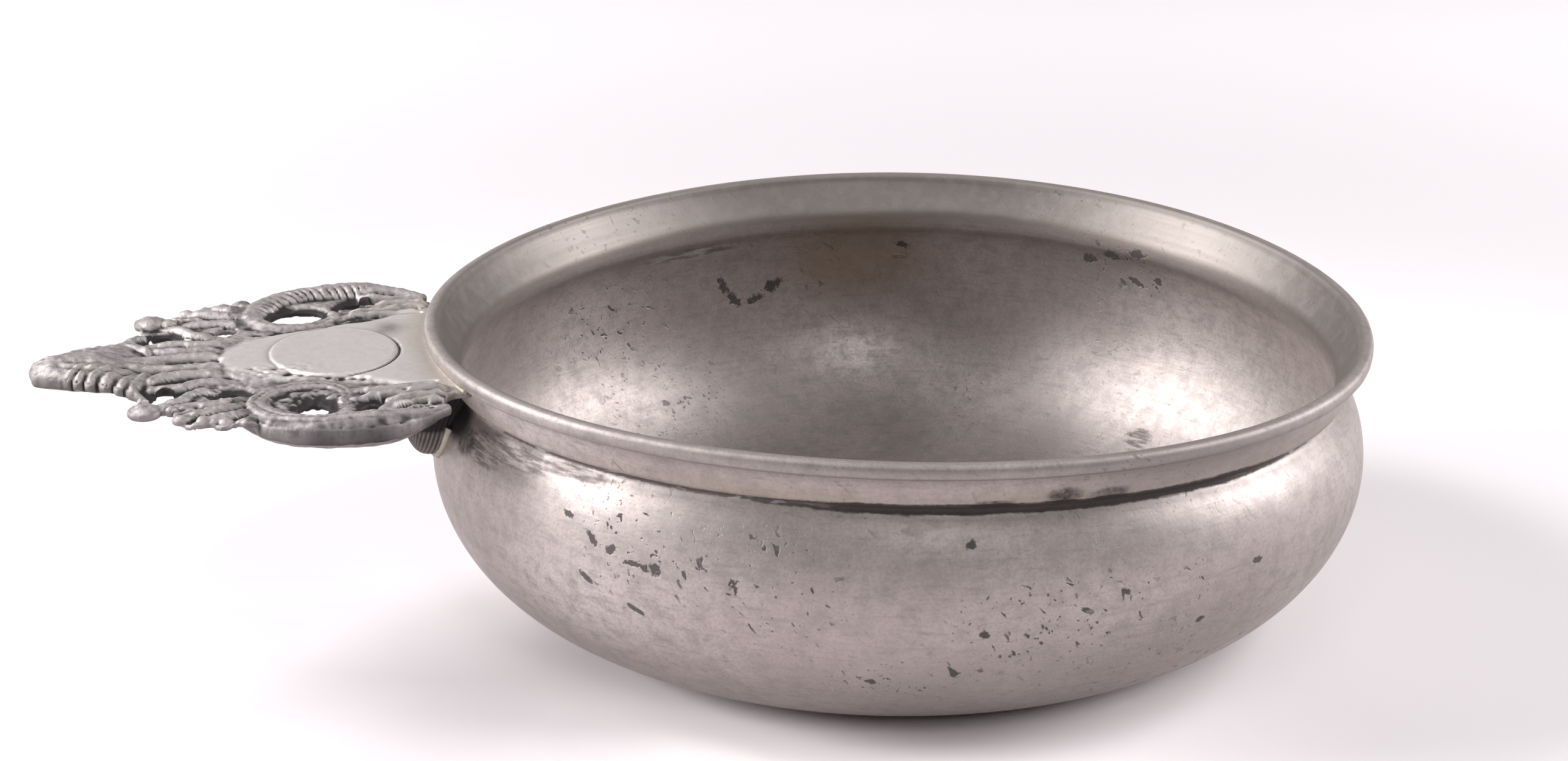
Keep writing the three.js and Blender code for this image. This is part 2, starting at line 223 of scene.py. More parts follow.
def turned_pewter():
    """Lathe lines, blotches, black pits, dirt in the groove and a brown stain, on soft grey pewter, with
    painted shadow under the handle, painted shade below the inner neck, painted highlights, darker painted
    reflections and painted glints in the groove.
    """
    finish = Finish("turned_pewter")
    point = finish.place((bowl_x, 0.0, 0.0))
    x, y, z = finish.parts(point)
    radius = (x * x + y * y) ** 0.5
    along = finish.attribute("along")
    level = finish.attribute("level") * 1000.0
    flat = finish.vector(y.math("ARCTAN2", y, x) * map_radius, level, 0.0)
    inside = along.between(lip_along - 0.6 * mm, lip_along + 0.6 * mm)
    outside = 1.0 - inside

    def turned_noise(round_scale, along_scale, detail, roughness):
        """Noise drawn out round the bowl, as a lathe and a hand with a rag leave it."""
        spun = finish.vector(x / radius * round_scale, y / radius * round_scale, along * along_scale)
        return finish.noise(spun, 1.0, detail, roughness)

    lathe = turned_noise(0.8, 1900.0, 4.0, 0.7)
    wear = turned_noise(2.2, 260.0, 3.0, 0.6)
    streak = turned_noise(14.0, 1500.0, 3.0, 0.65)
    cloud = finish.noise(point, 55.0, 4.0, 0.55)
    mottle = finish.noise(point, 420.0, 4.0, 0.65)
    ragged = finish.noise(point, 1100.0, 3.0, 0.6)
    fine = finish.noise(point, 2600.0, 2.0, 0.6)

    wobble = (ragged - 0.5) * 2.6
    outer_pits = (finish.blemishes(flat, black_pits_outside) + wobble).between(1.25, 0.75)
    inner_pits = (finish.blemishes(flat, black_pits_inside) + wobble).between(1.25, 0.75)
    pitted = (finish.attribute("pitted") + (ragged - 0.5) * 0.8).between(0.1, 0.7)
    clusters = finish.noise(point, 46.0, 2.0, 0.5).between(0.5, 0.66)
    slanted = finish.vector(x + z * 0.5, y, z * 0.8)
    blots = finish.noise(slanted, 700.0, 2.0, 0.55, 0.5).between(0.63, 0.70)
    specks = finish.noise(point, 1450.0, 2.0, 0.5).between(0.66, 0.73)
    dark = outer_pits * outside + inner_pits * inside
    dark = dark + blots * (0.12 + 0.3 * clusters + 0.9 * pitted)
    dark = (dark + specks * (0.15 + 0.3 * clusters + 0.6 * pitted)).limited()

    edge = (ragged - 0.5) * 0.5 + (streak - 0.5) * 0.8
    caked = finish.attribute("caked").between(0.1, 0.7)
    low_side = (level + edge * 0.7 + 0.35 * caked).between(groove_bottom, groove_bottom + 0.3)
    high_side = (level + edge * 0.7 - 0.6 * caked).between(groove_top, groove_top - 0.3)
    in_groove = low_side * high_side * outside
    groove = in_groove * (0.8 + 0.2 * caked)
    glint = in_groove * (1.0 - caked) * streak.between(0.52, 0.6)
    brown_band = (level + edge * 2.0).between(groove_top - 0.5, groove_top + 0.2)
    brown_band = brown_band * level.between(groove_top + 3.0, groove_top + 0.6) * outside
    # Painted shadow: near black on the neck and belly under the handle's root, where the handle's shadow
    # falls
    handle_shadow = (finish.attribute("painted_handle_shadow") + edge * 0.12).between(0.05, 0.75)
    # Dark dirt on the collar's front, and by the handle's root a patch of painted shadow
    collar_dirt_and_shade = (finish.attribute("grime_and_shade") + edge * 0.3).between(0.1, 0.7)
    lip_side = level.between(lip_bottom - 0.5, lip_bottom + 0.2)
    lip_side = lip_side * level.between(rim_height - 0.2, rim_height - 0.6) * outside
    lip = level.between(rim_height - 1.1, rim_height - 0.5)
    scoured = (finish.attribute("scoured") + (ragged - 0.5) * 0.6).between(0.1, 0.6)
    scratched = scoured * streak.between(0.42, 0.6)
    # Painted shade: a dark band inside just under the neck, where the wall tucks back beneath it
    below_neck = along.between(neck_along - 0.6 * mm, neck_along + 1.0 * mm)
    below_neck = below_neck * along.between(neck_along + 6.0 * mm, neck_along + 1.2 * mm)
    stain_x, _, stain_z = finish.parts(finish.place((bowl_x + 10.0 * mm, 62.0 * mm, 32.0 * mm)))
    stain = ((stain_x * stain_x + stain_z * stain_z * 2.5) ** 0.5).between(17.0 * mm, 5.0 * mm)
    stain = stain * y.between(30.0 * mm, 50.0 * mm) * inside * cloud.between(0.3, 0.55)
    patina = along.between(neck_along + 2.0 * mm, neck_along + 0.3 * mm)
    # Painted darker reflections: patches on the outside's front right, on the collar and low on the belly,
    # and low on the far inside wall
    painted_dark_reflections = (finish.attribute("painted_dark_reflections") + (cloud - 0.5) * 0.5).limited()
    # Painted highlights: lighter patches low on the outside's left and on its collar, and on the far inside
    # wall, where the lamps' reflections fall
    painted_highlights = (finish.attribute("painted_highlights") + (cloud - 0.5) * 0.5).limited()

    grey = finish.mix(cloud.between(0.3, 0.7), (0.39, 0.338, 0.322), (0.46, 0.404, 0.384))
    colour = finish.layered(grey, [
        (inside * patina, (0.22, 0.192, 0.176)),
        (painted_dark_reflections * 0.45, (0.22, 0.192, 0.184)),
        (painted_highlights * 0.6, (0.7, 0.63, 0.605)),
        (mottle.between(0.4, 0.7) * 0.55, (0.29, 0.258, 0.25)),
        (fine.between(0.42, 0.64) * 0.28, (0.24, 0.215, 0.208)),
        (streak.between(0.5, 0.72) * 0.4, (0.25, 0.222, 0.214)),
        (brown_band * cloud.between(0.3, 0.6) * 0.6, (0.27, 0.225, 0.17)),
        (below_neck * (0.35 + 0.4 * wear), (0.17, 0.14, 0.125)),
        (stain * 0.6, (0.27, 0.21, 0.14)),
        (scoured * streak.between(0.5, 0.4) * 0.4, (0.6, 0.56, 0.54)),
        ((scratched * 0.6).limited(), (0.12, 0.105, 0.1)),
        (handle_shadow * 0.97, (0.012, 0.011, 0.011)),
        (lip_side * 0.34, (0.16, 0.145, 0.145)),
        ((groove * 0.92 + collar_dirt_and_shade * ragged * 1.4).limited(), (0.045, 0.036, 0.035)),
        (glint * 0.6, (0.62, 0.58, 0.56)),
        (dark * 0.85, (0.085, 0.076, 0.074)),
    ])
    roughness = 0.38 + 0.12 * lathe + 0.14 * mottle + 0.3 * dark + 0.2 * scoured
    roughness = roughness + 0.2 * groove + 0.1 * lip + 0.3 * handle_shadow
    height = 0.10 * lathe + 0.12 * wear + 0.08 * mottle + 0.06 * fine - 0.5 * dark - 0.25 * scratched
    return finish.metal(colour, roughness, height, 0.12 * mm)


def arc(centre, radii, start, stop, count):
    angles = np.radians(np.linspace(start, stop, count))
    return [(centre[0] + radii[0] * math.cos(a), centre[1] + radii[1] * math.sin(a)) for a in angles]


def bend(start, middle, stop, count):
    """A quadratic curve from start to stop, drawn towards middle."""
    curve = []
    for t in np.linspace(0.0, 1.0, count):
        weights = ((1 - t) ** 2, 2 * t * (1 - t), t ** 2)
        curve.append(tuple(sum(w * p[k] for w, p in zip(weights, (start, middle, stop))) for k in (0, 1)))
    return curve


def skin(inset):
    """Boss, ring and belly up to the neck, for a face moved into the metal by inset."""
    wave = np.linspace(0.0, math.pi, 16)
    boss = [(boss_radius * a / math.pi, inset + boss_rise * 0.5 * (1 + math.cos(a))) for a in wave]
    belly = belly_radius - inset
    turn = 60
    rise = (neck_height - belly_height) / math.sin(math.radians(turn))
    lower = arc((foot_radius, belly_height), (belly - foot_radius, belly_height - inset), -90, 0, 44)
    upper = arc((belly - shoulder_tuck, belly_height), (shoulder_tuck, rise), 0, turn, 14)
    return boss + lower + upper[1:]


# The groove, the flared collar and the lip, as radius and height
groove_line = [(63.3, 35.45), (63.1, 35.75), (62.95, 36.15), (63.0, 36.5), (63.35, 36.8), (63.8, 36.95)]
collar_face = bend((64.05, 37.15), (64.4, 39.9), (65.75, 41.3), 12)
lip_bead = [
    (66.1, 41.38), (66.65, 41.5), (66.93, 41.85), (67.0, 42.3), (67.0, 42.8), (66.85, 43.25), (66.5, 43.48),
]
lip_top = [(66.0, 43.55), (65.5, 43.52), (lip_inner_radius, 43.3), (64.98, 42.95)]
inner_collar = bend((64.9, 42.5), (64.0, 40.6), (62.75, 38.9), 10)
outer_line = skin(0.0) + groove_line + collar_face + lip_bead
neck_inside = [(62.42, 38.4), (62.2, 37.95), (62.06, 37.4), (62.0, 36.8), (61.97, 36.2), (62.0, 35.6)]
profile = outer_line + lip_top + inner_collar + neck_inside + skin(bowl_wall)[::-1]


def passed(line):
    """How far along a line each of its points lies."""
    steps = np.diff(np.array(line, float), axis=0)
    return np.concatenate([[0.0], np.cumsum(np.hypot(*steps.T))])


profile_along = passed(profile) * mm
lip_along = float(profile_along[len(outer_line) + 1])
neck_along = float(profile_along[len(outer_line + lip_top + inner_collar)])


def link(name, mesh):
    piece = bpy.data.objects.new(name, mesh)
    bpy.context.scene.collection.objects.link(piece)
    return piece


def group(name, inputs):
    """An empty geometry tree with these named inputs, as its graph and a dictionary of their sockets."""
    tree = bpy.data.node_groups.new(name, "GeometryNodeTree")
    tree.interface.new_socket("Geometry", in_out="INPUT", socket_type="NodeSocketGeometry")
    for label, kind in inputs.items():
        tree.interface.new_socket(label, in_out="INPUT", socket_type="NodeSocket" + kind)
    tree.interface.new_socket("Geometry", in_out="OUTPUT", socket_type="NodeSocketGeometry")
    graph = Graph(tree)
    entry = graph.node("NodeGroupInput").out.node
    return graph, {out.name: Socket(graph, out) for out in entry.outputs if out.name}


def grown(carrier, graph, values, name):
    """Runs a geometry tree on the carrier with these input values and keeps the result as one mesh."""
    modifier = carrier.modifiers.new(graph.tree.name, "NODES")
    modifier.node_group = graph.tree
    for item in graph.tree.interface.items_tree:
        if item.in_out == "INPUT" and item.name in values:
            modifier[item.identifier] = values[item.name]
    layers = bpy.context.evaluated_depsgraph_get()
    made = carrier.evaluated_get(layers)
    mesh = bpy.data.meshes.new_from_object(made, preserve_all_data_layers=True, depsgraph=layers)
    mesh.name = name
    carrier.modifiers.remove(modifier)
    bpy.data.objects.remove(carrier)
    return link(name, mesh)


def completed(graph, body, material):
    """Ends a geometry tree: smooth shading, instances made real and the material set."""
    body = graph.node("GeometryNodeSetShadeSmooth", {}, {"Geometry": body})
    body = graph.node("GeometryNodeRealizeInstances", {}, {"Geometry": body})
    body = graph.node("GeometryNodeSetMaterial", {}, {"Geometry": body, "Material": material})
    graph.node("NodeGroupOutput", {}, {0: body})
    return graph


def lathe_tree():
    """Turns a profile about the bowl's axis, and leans and ovals it more and more up to the neck."""
    inputs = {
        "Turns": "Int", "Centre": "Float", "Neck Height": "Float",
        "Lean": "Float", "Lean Towards": "Float", "Oval": "Float", "Oval Towards": "Float",
        "Uneven": "Float", "Uneven Scale": "Float", "Material": "Material",
    }
    graph, given = group("turned_on_the_lathe", inputs)
    line = given["Geometry"]
    count = graph.node("GeometryNodeAttributeDomainSize", {}, {0: line}, out="Point Count")
    rings = {"Size X": 1.0, "Size Y": 1.0, "Vertices X": given["Turns"], "Vertices Y": count}
    u, v, _ = graph.parts(graph.node("GeometryNodeInputPosition"))
    angle = (u + 0.5) * (2 * math.pi)
    row = (v + 0.5) * (count - 1.0)
    index = row.math("ROUND", row)

    def sampled(kind, value):
        values = {"Geometry": line, "Value": value, "Index": index}
        return graph.node("GeometryNodeSampleIndex", {"data_type": kind}, values)

    radius, _, height = graph.parts(sampled("FLOAT_VECTOR", graph.node("GeometryNodeInputPosition")))
    named = graph.node("GeometryNodeInputNamedAttribute", {"data_type": "FLOAT"}, {"Name": "along"})
    along = sampled("FLOAT", named)
    cosine = angle.math("COSINE", angle)
    sine = angle.math("SINE", angle)
    lean = angle - given["Lean Towards"]
    oval = (angle - given["Oval Towards"]) * 2.0
    share = height.math("MINIMUM", height / given["Neck Height"], 1.0)
    warp = given["Lean"] * lean.math("COSINE", lean) + given["Oval"] * oval.math("COSINE", oval)
    round_place = graph.vector(radius * cosine, radius * sine, height)
    uneven = graph.noise(round_place, given["Uneven Scale"], 2.0, 0.5) - 0.5
    worn = radius + uneven * given["Uneven"] * radius / (rim_radius * mm)
    off_axis = radius.math("MINIMUM", radius / (boss_radius * mm), 1.0)
    raised = height + warp * share * share * off_axis
    place = graph.vector(given["Centre"] + worn * cosine, worn * sine, raised)
    body = graph.node("GeometryNodeMeshGrid", {}, rings)
    for name, value in (("along", along), ("level", height)):
        values = {"Geometry": body, "Name": name, "Value": value}
        body = graph.node("GeometryNodeStoreNamedAttribute", {}, values)
    body = graph.node("GeometryNodeSetPosition", {}, {"Geometry": body, "Position": place})
    body = graph.node("GeometryNodeMergeByDistance", {}, {"Geometry": body, "Distance": 0.004 * mm})
    return completed(graph, body, given["Material"])


def outward(piece):
    """Merges what coincides and turns every face outwards."""
    shape = bmesh.new()
    shape.from_mesh(piece.data)
    bmesh.ops.remove_doubles(shape, verts=shape.verts, dist=0.001 * mm)
    bmesh.ops.recalc_face_normals(shape, faces=shape.faces)
    shape.to_mesh(piece.data)
    shape.free()


def thread(name, points):
    """An open line of edges through these points, in metres."""
    line = bpy.data.meshes.new(name)
    line.from_pydata(points, [(i, i + 1) for i in range(len(points) - 1)], [])
    return link(name, line)


def store(mesh, name, values):
    """Keeps one number for each point, for a material or a geometry tree to read."""
    mesh.attributes.new(name, "FLOAT", "POINT").data.foreach_set("value", values)


bowl_line = thread("bowl_profile", [(r * mm, 0.0, h * mm) for r, h in profile])
store(bowl_line.data, "along", profile_along)
turned = {
    "Turns": 289, "Centre": bowl_x, "Neck Height": neck_height * mm,
    "Lean": -1.32 * mm, "Lean Towards": math.radians(-69.431),
    "Oval": -1.0 * mm, "Oval Towards": math.radians(-23.5944),
    "Uneven": 0.22 * mm, "Uneven Scale": 32.0, "Material": turned_pewter(),
}
bowl = grown(bowl_line, lathe_tree(), turned, "turned_bowl")
outward(bowl)

# Worn and dirty places, and places of painted shadow, highlight and darker reflection, outside and then
# inside: degrees about the bowl, mm up, half length, half height
worn_places = {
    "pitted": (
        [(-95, 23, 5, 5), (-90, 18.4, 6, 2.6), (-70, 24, 3.2, 3.2), (-119, 26, 11, 8), (-134, 27, 9, 7),
         (-86, 23, 12, 6), (-104, 14, 12, 4)],
        [(40, 33.6, 8, 3.6), (36, 30.4, 7, 2.2), (120, 26, 12, 7), (31.6, 8, 2.4, 1.3)]),
    "scoured": (
        [(-155, 34.4, 8, 1.4), (-145, 35.2, 7, 0.7), (-162, 33.4, 6, 2.2)],
        [(107, 33.6, 9, 0.9), (74.5, 30, 1.6, 0.5), (31.6, 8, 2.6, 1.4)]),
    # dirt on the collar's front; the last place is painted shadow by the handle's root
    "grime_and_shade": (
        [(-86, 38.2, 2.6, 1.1), (-80.5, 37.8, 2.8, 0.9), (-94, 37.4, 3, 0.5), (-167.5, 32.6, 3, 2)],
        []),
    # painted shadow under the handle's root
    "painted_handle_shadow": ([(-172.5, 34, 5.5, 2.7), (-178, 33, 7, 2.9)], []),
    "caked": ([(-86, 36.4, 40, 20)], []),
    # painted darker reflections
    "painted_dark_reflections": ([(-70, 40.5, 22, 6), (-88, 12, 30, 10)], [(104, 9, 12, 4.5), (48, 7, 9, 4)]),
    # painted highlights
    "painted_highlights": (
        [(-142, 19, 18, 7), (-150, 39.5, 18, 4)],
        [(125, 27, 14, 7), (28, 27, 16, 7), (82, 15.5, 8, 4.5)]),
}


def closeness(outside_places, inside_places):
    """How close each point is to the nearest of some places: 1 at its middle, 0 a little beyond it."""
    spots = np.empty(len(bowl.data.vertices) * 3)
    bowl.data.vertices.foreach_get("co", spots)
    x, y, _ = spots.reshape(-1, 3).T
    turn = np.degrees(np.arctan2(y, x - bowl_x))
    along, level = np.empty(len(x)), np.empty(len(x))
    bowl.data.attributes["along"].data.foreach_get("value", along)
    bowl.data.attributes["level"].data.foreach_get("value", level)
    nearness = np.zeros(len(x))
    for places, here in ((outside_places, along < lip_along), (inside_places, along >= lip_along)):
        for place_turn, height, half_length, half_height in places:
            off = (turn - place_turn) * mm_per_degree / half_length
            off = np.hypot(off, (level / mm - height) / half_height)
            nearness = np.where(here, np.maximum(nearness, 1.3 - off), nearness)
    return np.clip(nearness, 0, 1)


for name, places in worn_places.items():
    store(bowl.data, name, closeness(*places))
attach(bowl, "root")
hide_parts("bowl")


# Handle
# One flat openwork casting of the flowered kind in dull, leaden pewter: two C-scrolls roll down
# outside and curl back into their eyes, a plain oval medallion lies between them, and leaves run out
# to buds and a ribbed, curled tip. Its root is soldered to the collar.

grid_pitch = 0.225
plate_top = 42.0
plate_thickness = 1.25
leaf_thickness = 0.85
edge_round = 0.45
handle_reach = 53.4
collar_bite = 65.6
twist = 0.018
band_half = 3.2
band_depth = 2.45
medallion_beyond = 12.6
medallion_half = (8.8, 10.0)

# The grid that it is drawn on: X is mm beyond the rim, and V mm aside, negative on the near half
grid_root, grid_half = -8.0, 33.0
reach_axis = np.arange(grid_root, handle_reach + 2.0, grid_pitch)
aside_axis = np.arange(-grid_half, grid_half, grid_pitch)
X, V = np.meshgrid(reach_axis, aside_axis, indexing="ij")
far = V > 0


def ease(value, low, high):
    t = np.clip((value - low) / (high - low), 0.0, 1.0)
    return t * t * (3 - 2 * t)


def lumps(size, seed):
    """Smooth random lumps from -1 to 1, size mm apart."""
    cells = 159
    lattice = np.random.default_rng(seed).uniform(-1.0, 1.0, (cells + 1, cells + 1))
    gx, ga = (X + 20.0) / size, (V + 40.0) / size
    ix, ia = np.floor(gx).astype(int), np.floor(ga).astype(int)
    fx, fa = ease(gx - ix, 0, 1), ease(ga - ia, 0, 1)
    ix, ia = ix % cells, ia % cells
    low = lattice[ix, ia] * (1 - fx) + lattice[ix + 1, ia] * fx
    high = lattice[ix, ia + 1] * (1 - fx) + lattice[ix + 1, ia + 1] * fx
    return low * (1 - fa) + high * fa


# The pattern follows B beyond and A aside: cut by hand, it wanders and its halves aren't quite alike
B = X + 0.025 * V + 0.32 * lumps(5.0, 11) + 0.13 * lumps(2.0, 12)
A = np.abs(V) + 0.32 * lumps(5.0, 13) + 0.13 * lumps(2.0, 14)


def flowing(points, fineness=8):
    """Points of a smooth curve through a few chosen ones."""
    points = np.array(points, float)
    chain = np.vstack([2 * points[0] - points[1], points, 2 * points[-1] - points[-2]])
    curve = []
    for p0, p1, p2, p3 in zip(chain, chain[1:], chain[2:], chain[3:]):
        for t in np.arange(fineness) / fineness:
            slope = (p2 - p0) * t + (2 * p0 - 5 * p1 + 4 * p2 - p3) * t ** 2
            curve.append(p1 + 0.5 * (slope + (3 * p1 - p0 - 3 * p2 + p3) * t ** 3))
    curve.append(chain[-2])
    return np.array(curve)


def from_path(curve):
    """Each grid point's distance from a curve, how far along and on which side it is (-1 or 1), and
    the curve's length."""
    starts = passed(curve)
    best = np.full(X.shape, 1e3)
    run = np.zeros(X.shape)
    side = np.ones(X.shape)
    for (px, pa), (qx, qa), length, before in zip(curve, curve[1:], np.diff(starts), starts):
        dx, da = (qx - px) / length, (qa - pa) / length
        t = np.clip((B - px) * dx + (A - pa) * da, 0.0, length)
        ex, ea = B - px - t * dx, A - pa - t * da
        away = np.hypot(ex, ea)
        closer = away < best
        best = np.where(closer, away, best)
        run = np.where(closer, before + t, run)
        side = np.where(closer, np.sign(dx * ea - da * ex), side)
    return best, run, side, starts[-1]


def within(loop):
    """Signed distance from a closed loop, below zero inside it."""
    away = from_path(loop)[0]
    inside = np.zeros(X.shape, bool)
    for (px, pa), (qx, qa) in zip(loop, np.roll(loop, -1, axis=0)):
        crosses = (pa > A) != (qa > A)
        with np.errstate(divide="ignore", invalid="ignore"):
            left = B < px + (A - pa) * (qx - px) / (qa - pa)
        inside ^= crosses & left
    return np.where(inside, -away, away)


def rounded(share):
    """Height of a round top: 1 at its middle, and 0 from a share of 1 on."""
    return np.sqrt(np.clip(1 - share ** 2, 0, 1))


def merged(first, second, blend):
    """The higher of two surfaces, with a soft valley where they meet."""
    h = np.clip(0.5 + 0.5 * (first - second) / blend, 0.0, 1.0)
    return second + (first - second) * h + blend * h * (1 - h)


def softened(field, reach):
    """The field blurred by a bell curve of this reach in mm."""
    span = int(3 * reach / grid_pitch)
    bell = np.exp(-0.5 * (np.arange(-span, span + 1) * grid_pitch / reach) ** 2)
    bell /= bell.sum()
    for axis in (0, 1):
        pad = [(span, span) if k == axis else (0, 0) for k in (0, 1)]
        wide = np.pad(field, pad, mode="edge")
        field = np.apply_along_axis(np.convolve, axis, wide, bell, mode="valid")
    return field


def spot(beyond, aside, half_beyond, half_aside):
    """1 at a place on the true grid, falling softly to 0 around it."""
    return np.exp(-np.hypot((X - beyond) / half_beyond, (V - aside) / half_aside) ** 2)


def waves(place, pitch):
    """Narrow ridges from 0 to 1, one at each pitch."""
    return (0.5 + 0.5 * np.cos(2 * np.pi * place / pitch)) ** 3


# Outline: half of it, in mm beyond the rim and mm aside, one run between each pair of corners
outline_runs = [
    [(-12, 19.6), (-2.4, 19.8), (-0.2, 24.9), (3, 27.7), (8, 29.4), (13, 29.9), (17, 29.1), (20.5, 27.1),
     (22.4, 24.9)],
    [(22.4, 24.9), (24, 25.5), (26, 24.7), (27.4, 25.2), (29.4, 24.1), (30.6, 24.3), (32.4, 23.4),
     (33.4, 22.4), (33.7, 20.7), (34, 17.9)],
    [(34, 17.9), (35.7, 18.6), (37.4, 18.6), (38.8, 17.2), (38.9, 14.4), (38.7, 12.6)],
    [(38.7, 12.6), (40.2, 10.7), (42.2, 8.9), (45.6, 6.7), (48.4, 5.3), (51, 4.1), (52.7, 2.6), (53.3, 0)],
]
closing = [(53.3, 0), (53.3, -2), (-12, -2)]
half_outline = np.vstack([flowing(run)[:-1] for run in outline_runs] + [closing])
region = within(half_outline)
piercings = [
    (17.3, 19, 3.5, 2.7), (8.9, 20.9, 2.8, 2.5), (27.4, 13.2, 1.3, 1.3), (35.8, 11.8, 2, 2.2),
    (16.2, -20.2, 2.1, 2.4), (8.6, -21.6, 1.5, 1.5), (26.4, -12.9, 1.7, 1.6), (35.4, -12.3, 1.9, 2.4),
]
pierced = np.full(X.shape, 9.0)
for beyond, aside, reach_half, aside_half in piercings:
    hole = np.hypot((B - beyond) / reach_half, (np.sign(V) * A - aside) / aside_half)
    region = np.maximum(region, (1 - hole) * min(reach_half, aside_half))
    pierced = np.minimum(pierced, hole)

# Plate, sunk a little among the leaves, hollowed round its piercings and plain round the medallion
plain_beyond = [-6, -3, 3, 8, 15, 20, 24, 27, 31]
plain_edge = np.interp(B, plain_beyond, [18.2, 17.4, 15, 12.2, 10.7, 9.2, 7.2, 3.5, -3])
leafy = ease((A - plain_edge) / (1.0 + 2.4 * ease(B, 19, 25)), -0.6, 1.0)
hollowed = np.where(far, ease(pierced, 1.6, 1.0), ease(pierced, 2.3, 1.0))
top = -0.5 * leafy - 0.6 * hollowed * leafy
under = -plate_thickness + (plate_thickness - leaf_thickness) * ease(X, 22, 25) * ease(A, 12, 15)

# C-scroll: a rolled band, thin at the root, broad at the shoulder, that winds in round its eye.
# It hangs down outside and is pleated inside
scroll_line = flowing([
    (-0.6, 24), (3.2, 26.4), (8, 27.3), (13, 27.5), (17.5, 26.5), (21.6, 23.4), (23.6, 18.8), (22.3, 14.8),
    (18.2, 12.3), (13.8, 12.7), (11.6, 15.6), (12.2, 18.8),
])
away, run, side, scroll_length = from_path(scroll_line)
share = run / scroll_length
half_band = band_half * (0.3 + 0.7 * ease(share, 0.0, 0.2)) * (1 - 0.74 * share ** 1.6)
half_depth = band_depth * half_band / band_half
arch = rounded(away / half_band)
pleats = waves(run + 0.4 * away + 0.35 * lumps(2.6, 15), 1.2) * (0.7 + 0.5 * lumps(1.6, 20))
inner = ease(-side * away, -0.9, 1.4) * ease(share, 0.1, 0.2) * ease(share, 0.66, 0.5)
pleats = pleats * inner * np.where(far, 1.0, 0.45)
crest = -1.4 + 0.55 * (1 - half_band / band_half)
streaks = waves(side * away + 0.25 * lumps(4.0, 19), 1.3) * ease(share, 0.08, 0.2)
scroll_top = crest + half_depth * arch - 0.34 * pleats - np.where(far, 0.05, 0.16) * streaks
scroll_under = crest - half_depth * arch
hanging = ease(side * away, -0.6, 0.8) * ease(share, 0.75, 0.55)
inner_depth = -1.25 - 0.75 * ease(share, 0.05, 0.2) * ease(share, 0.75, 0.6)
scroll_under = inner_depth + np.minimum(scroll_under - inner_depth, 0.0) * hanging
on_band = away < half_band
skirt = ease(side * away / half_band, 0.15, 0.75) * (away < half_band + 1.0) * ease(share, -0.02, 0.04)
top = np.where(on_band, merged(top, scroll_top, 0.3), top)
under = np.where(on_band, np.minimum(under, scroll_under), under)
region = np.minimum(region, away - half_band + 0.3 * pleats)

# Ridges: blades at the root, the leaf fan beside the scroll, and the inner leaf
ridges = [
    ([(-2, 17.4), (2, 17.6), (6, 18), (10.6, 18.6)], 0.7, 0.75),
    ([(-1.8, 19.4), (2, 19.9), (6.2, 20.2)], 0.6, 0.7),
    ([(-1.2, 21.4), (2.4, 22.3), (6.4, 23.4), (7.6, 24.8)], 0.7, 0.75),
    ([(-0.8, 15.4), (3.4, 15.7), (8, 16), (11, 15)], 0.7, 0.6),
    ([(24.2, 15.4), (28, 16.7), (33.8, 17.4)], 1, 0.55),
    ([(24, 18), (28, 20), (33, 21.8)], 1, 0.7),
    ([(23.6, 20.6), (27, 22.4), (30.4, 23.6)], 0.9, 0.65),
    ([(23, 22.8), (25, 24.2), (26.8, 24.6)], 0.8, 0.55),
    ([(29.4, 17.9), (31.6, 19), (34, 19.6)], 0.6, 0.5),
    ([(27.6, 2.2), (33, 2), (41, 1.5)], 1, 0.7),
    ([(27.4, 5), (32, 4.6), (36.4, 5.6), (39, 8)], 1, 0.65),
    ([(26.6, 8.2), (30.6, 8.2), (33.4, 9), (37.6, 8.8)], 0.8, 0.5),
    ([(28.6, 11), (31.6, 12.4), (33, 14.8), (35.6, 16.6)], 0.8, 0.55),
    ([(36.8, 4.4), (39.6, 7), (40, 10), (38.4, 13.6)], 0.8, 0.8),
]
for points, width, rise in ridges:
    away, run, _, length = from_path(flowing(points))
    taper = ease(run, -0.6, 1.6) * (0.45 + 0.55 * ease(length - run, 0.0, 2.4))
    body = rise * taper * rounded(away / (width * 1.25)) * 1.5 - 0.6
    top = np.where(away < width * 1.25, merged(top, body, 0.25), top)

# Slits and grooves cut down between them
slits = [
    ([(-1.6, 18.4), (3, 18.8), (8, 19.2)], 0.42, 1.4),
    ([(-1.2, 20.5), (3, 21.2), (6.4, 21.8)], 0.45, 1.5),
    ([(0.2, 23.6), (3.4, 24.6), (6.6, 25.6)], 0.4, 1.2),
    ([(-0.6, 16.5), (4, 16.8), (9, 17)], 0.38, 1.2),
    ([(-1, 14.6), (3, 14.9), (8, 15.2)], 0.3, 0.8),
    ([(0.6, 22.4), (3.6, 22.8), (6, 24.2)], 0.36, 1.2),
    ([(3, 17.8), (7, 18), (11, 18.4)], 0.25, 0.6),
    ([(24, 16.6), (29, 18.3), (33.6, 19)], 0.35, 0.5),
    ([(24, 19.2), (28, 21.2), (32, 22.8)], 0.35, 0.5),
    ([(27.8, 0.2), (32, 0.2), (38.4, 0.4)], 0.45, 0.75),
    ([(28.2, 3.6), (32, 3.3), (39, 3.2)], 0.35, 0.6),
    ([(27.6, 6.6), (31, 6.4), (36, 7.2)], 0.4, 0.6),
    ([(29.4, 9.8), (32.4, 10.6), (33.6, 12.6)], 0.3, 0.5),
]
for points, width, depth in slits:
    away, run, _, length = from_path(flowing(points))
    taper = ease(run, 0.0, 1.2) * ease(length - run, 0.0, 1.2)
    top = top - depth * taper * np.exp(-(away / width) ** 2)

